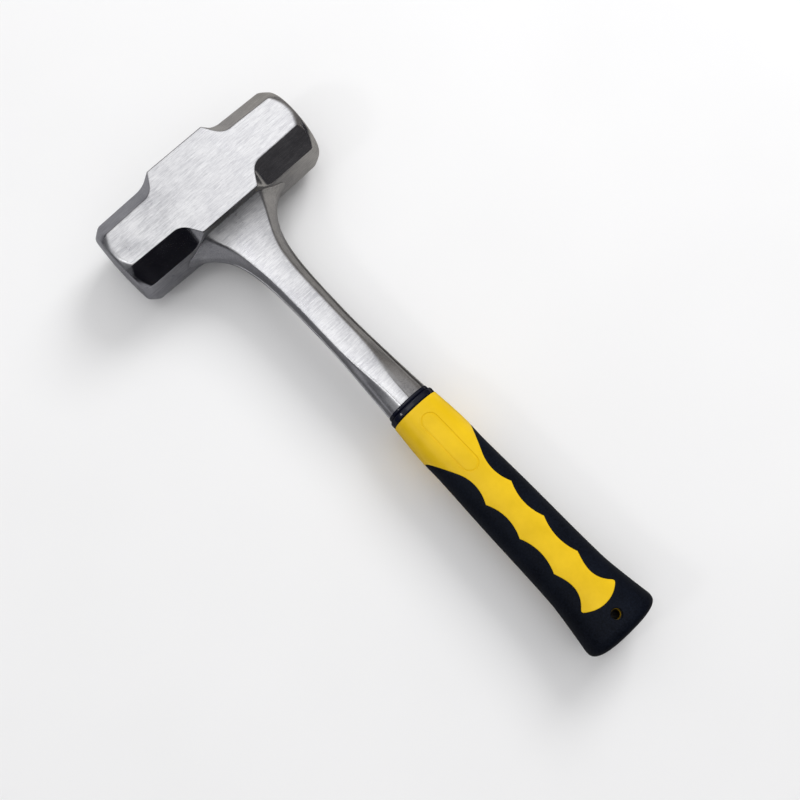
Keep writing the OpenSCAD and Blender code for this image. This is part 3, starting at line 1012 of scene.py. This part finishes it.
# ---------------------------------------------------------------- build
def build_pieces():
    """Makes the four pieces, each in place of its CAD node."""
    hammer = build_head()
    combine(hammer, build_shank(), "UNION")
    combine(hammer, build_tang(), "UNION")
    shade(hammer, 30)
    core = build_core()
    combine(core, label_cutter(), "DIFFERENCE")
    combine(core, build_tang(CLEARANCE), "DIFFERENCE")
    combine(core, hole_cutter(HOLE_R, CLEARANCE), "DIFFERENCE")
    shade(core, 40)
    skin = build_overmould()
    combine(skin, hole_cutter(HOLE_R + HOLE_LIP, LIP_ROUND), "DIFFERENCE")
    shade(skin, 40)
    collar = build_collar()
    combine(collar, build_tang(CLEARANCE), "DIFFERENCE")
    shade(collar, 40)
    pieces = (
        (hammer, "hammer_forging", "steel", steel_material()),
        (collar, "collar", "collar_rubber", collar_material()),
        (core, "grip_core", "yellow_plastic", yellow_material()),
        (skin, "grip_overmould", "black_rubber", black_material()),
    )
    for obj, node, slot, material in pieces:
        obj.data.materials.clear()
        obj.data.materials.append(material)
        obj.name = node + "_finished"
        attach(obj, "root")
        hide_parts(node)


build_pieces()

# ---------------------------------------------------------------- stage, light and camera
scene = bpy.context.scene
scene.view_settings.view_transform = "Standard"


def link(obj):
    scene.collection.objects.link(obj)
    return obj


def level_square(half, z):
    """Corners of a level square about the origin."""
    return [(-half, -half, z), (half, -half, z), (half, half, z), (-half, half, z)]


def lay_floor():
    mesh = bpy.data.meshes.new("floor")
    mesh.from_pydata(level_square(6.0, 0), [], [(0, 1, 2, 3)])
    mesh.materials.append(floor_material())
    floor = link(bpy.data.objects.new("floor", mesh))
    # Just under the hammer, so that the two surfaces don't coincide
    floor.location.z = -0.00005


def area_light(name, place, target, size, power, size_y=None):
    """Lamp at place facing target; size_y makes it a rectangle."""
    data = bpy.data.lights.new(name, "AREA")
    data.energy = power
    data.size = size
    if size_y:
        data.shape = "RECTANGLE"
        data.size_y = size_y
    obj = link(bpy.data.objects.new(name, data))
    obj.location = place
    obj.rotation_euler = (Vector(target) - Vector(place)).to_track_quat("-Z", "Y").to_euler()
    return obj


# Where the slanting lamps point
TOOL_MIDDLE = (0, -0.12, 0.02)
lay_floor()
area_light("over_cheeks", (0.51, 0.64, 1.3), (0.51, 0.64, 0), 0.68, 1.27, 0.52)
area_light("over_shank", (-0.08, 0.1, 1.3), (-0.08, 0.1, 0), 0.56, 0.95, 0.52)
area_light("key", (1.15, 0.25, 1.05), TOOL_MIDDLE, 0.7, 12.5).visible_glossy = False
area_light("glint_top", (-0.26, 0.06, 1.3), (-0.26, 0.06, 0), 0.09, 0.36)
area_light("glint_side", (-1.0, 0.1, 1.0), TOOL_MIDDLE, 0.18, 1.3)


HORIZON_LEFT = (0.12, 0.122, 0.132)
HORIZON_RIGHT = (0.20, 0.183, 0.165)
ZENITH = (0.79, 0.79, 0.80)


def studio_world():
    """Soft dome: bright overhead, dim towards the horizon, a little warm on the right."""
    made = bpy.data.worlds.new("studio")
    made.use_nodes = True
    tree = made.node_tree
    back = tree.nodes["Background"]
    place = tree.nodes.new("ShaderNodeTexCoord")
    axes = tree.nodes.new("ShaderNodeSeparateXYZ")
    tree.links.new(place.outputs["Generated"], axes.inputs[0])
    side = tree.nodes.new("ShaderNodeMapRange")
    tree.links.new(axes.outputs[0], side.inputs["Value"])
    side.inputs["From Min"].default_value = -0.6
    side.inputs["From Max"].default_value = 0.8
    low = tree.nodes.new("ShaderNodeMix")
    low.data_type = "RGBA"
    tree.links.new(side.outputs["Result"], low.inputs[0])
    low.inputs[6].default_value = (*HORIZON_LEFT, 1)
    low.inputs[7].default_value = (*HORIZON_RIGHT, 1)
    rise = tree.nodes.new("ShaderNodeMapRange")
    rise.interpolation_type = "SMOOTHSTEP"
    tree.links.new(axes.outputs[2], rise.inputs["Value"])
    rise.inputs["From Min"].default_value = 0.2
    rise.inputs["From Max"].default_value = 0.85
    dome = tree.nodes.new("ShaderNodeMix")
    dome.data_type = "RGBA"
    tree.links.new(rise.outputs["Result"], dome.inputs[0])
    tree.links.new(low.outputs[2], dome.inputs[6])
    dome.inputs[7].default_value = (*ZENITH, 1)
    tree.links.new(dome.outputs[2], back.inputs["Color"])
    return made


scene.world = studio_world()


def stage_surface(name, corners, faces, material, seen_by):
    """Surface that only one kind of ray sees, the camera's or the glossy ones, and that casts no shadow."""
    mesh = bpy.data.meshes.new(name)
    mesh.from_pydata(corners, [], faces)
    mesh.materials.append(material)
    made = link(bpy.data.objects.new(name, mesh))
    for kind in ("camera", "glossy", "shadow", "diffuse", "transmission"):
        setattr(made, "visible_" + kind, kind == seen_by)


def matt(name):
    """Nodes of a material without any shine."""
    n = Nodes(name)
    n.shader.inputs["Roughness"].default_value = 1.0
    n.shader.inputs["Specular IOR Level"].default_value = 0.0
    return n


def glowing(name):
    """Nodes of a matt black material whose glow isn't sampled as a lamp."""
    n = matt(name)
    n.shader.inputs["Base Color"].default_value = (0, 0, 0, 1)
    n.shader.inputs["Emission Strength"].default_value = 1.0
    n.material.cycles.emission_sampling = "NONE"
    return n


# Screen, a quarter round in section: its middle, radius, half width, rows and topmost angle
SCREEN_Y, SCREEN_R, SCREEN_HALF, SCREEN_ROWS = -0.1, 1.0, 2.6, 44
SCREEN_TOP = math.radians(88)
# It is dark up to this angle, and brightens with this power to this tone overhead
SCREEN_DARK = math.radians(33)
SCREEN_POWER, SCREEN_GLOW = 4.8, 0.95


def screen():
    """Curved screen over the handle's side: dark low down, brightening steeply overhead."""
    n = glowing("screen")
    x, y, z = n.axes()
    angle = n.math("ARCTAN2", z, n.math("SUBTRACT", SCREEN_Y, y))
    climb = n.math("POWER", n.spread(angle, SCREEN_DARK, math.pi / 2, 0.0, 1.0), SCREEN_POWER)
    foot = n.mix_colour(n.spread(x, 0.1, 0.24, 0.0, 1.0), (0.004, 0.004, 0.007), (0.055, 0.053, 0.056))
    glow = n.mix_colour(climb, foot, (SCREEN_GLOW, SCREEN_GLOW, SCREEN_GLOW))
    n.link(glow, n.shader.inputs["Emission Color"])
    corners = []
    for a in np.linspace(0, SCREEN_TOP, SCREEN_ROWS + 1):
        y, z = SCREEN_Y - SCREEN_R * math.cos(a), SCREEN_R * math.sin(a)
        corners += [(-SCREEN_HALF, y, z), (SCREEN_HALF, y, z)]
    faces = [(2 * k, 2 * k + 1, 2 * k + 3, 2 * k + 2) for k in range(SCREEN_ROWS)]
    stage_surface("screen", corners, faces, n.material, "glossy")


def dim_floor():
    """Floor as the steel sees it: grey beside the tool, a little warm on the right, dark further out."""
    n = matt("dim_floor")
    x, y, _ = n.axes()
    side = n.spread(x, -0.02, 0.06, 0.0, 1.0)
    near = n.mix_colour(side, (0.285, 0.285, 0.30), (0.36, 0.345, 0.32))
    along = n.math("MULTIPLY", n.math("ADD", y, 0.04), 0.6)
    away = n.math("SQRT", n.math("ADD", n.math("MULTIPLY", x, x), n.math("MULTIPLY", along, along)))
    tone = n.mix_colour(n.spread(away, 0.12, 0.22, 0.0, 1.0), near, (0.035, 0.035, 0.04))
    # Two dark flags beside the shank draw a dark line along each of its sides
    left_flag = n.math("MULTIPLY", n.band(x, -0.045, -0.008, 0.004), 0.4)
    flags = n.math("ADD", n.band(x, 0.004, 0.046, 0.004), left_flag)
    flags = n.math("MULTIPLY", flags, n.band(y, -0.15, -0.045, 0.012))
    tone = n.mix_colour(flags, tone, (0.01, 0.0085, 0.007))
    n.link(tone, n.shader.inputs["Base Color"])
    stage_surface("dim_floor", level_square(2.0, -0.00002), [(0, 1, 2, 3)], n.material, "glossy")


def backdrop():
    """Pale wall far behind the floor, for views from low down; it takes no part in the lighting."""
    n = glowing("backdrop")
    n.shader.inputs["Emission Color"].default_value = (0.86, 0.86, 0.86, 1)
    count, radius, top = 64, 5.0, 12.0
    turns = [k * 2 * math.pi / count for k in range(count)]
    corners = [(radius * math.cos(a), radius * math.sin(a), z) for z in (-0.01, top) for a in turns]
    faces = [(k, (k + 1) % count, count + (k + 1) % count, count + k) for k in range(count)]
    stage_surface("backdrop", corners, faces, n.material, "camera")


screen()
dim_floor()
backdrop()

# The photo's camera, as fitted to the hammer's outline
CAMERA_LENS, CAMERA_SENSOR = 49.5, 36
CAMERA_PLACE = (-0.0713, -0.2083, 0.5101)
CAMERA_AZIMUTH, CAMERA_ELEVATION = math.radians(-43.08), math.radians(78.24)


def photo_camera():
    lens = bpy.data.cameras.new("camera")
    lens.lens = CAMERA_LENS
    lens.sensor_width = CAMERA_SENSOR
    camera = link(bpy.data.objects.new("camera", lens))
    camera.location = CAMERA_PLACE
    level = math.cos(CAMERA_ELEVATION)
    ahead = Vector((-math.sin(CAMERA_AZIMUTH) * level, math.cos(CAMERA_AZIMUTH) * level,
                    -math.sin(CAMERA_ELEVATION)))
    camera.rotation_euler = ahead.to_track_quat("-Z", "Y").to_euler()
    return camera


scene.camera = photo_camera()
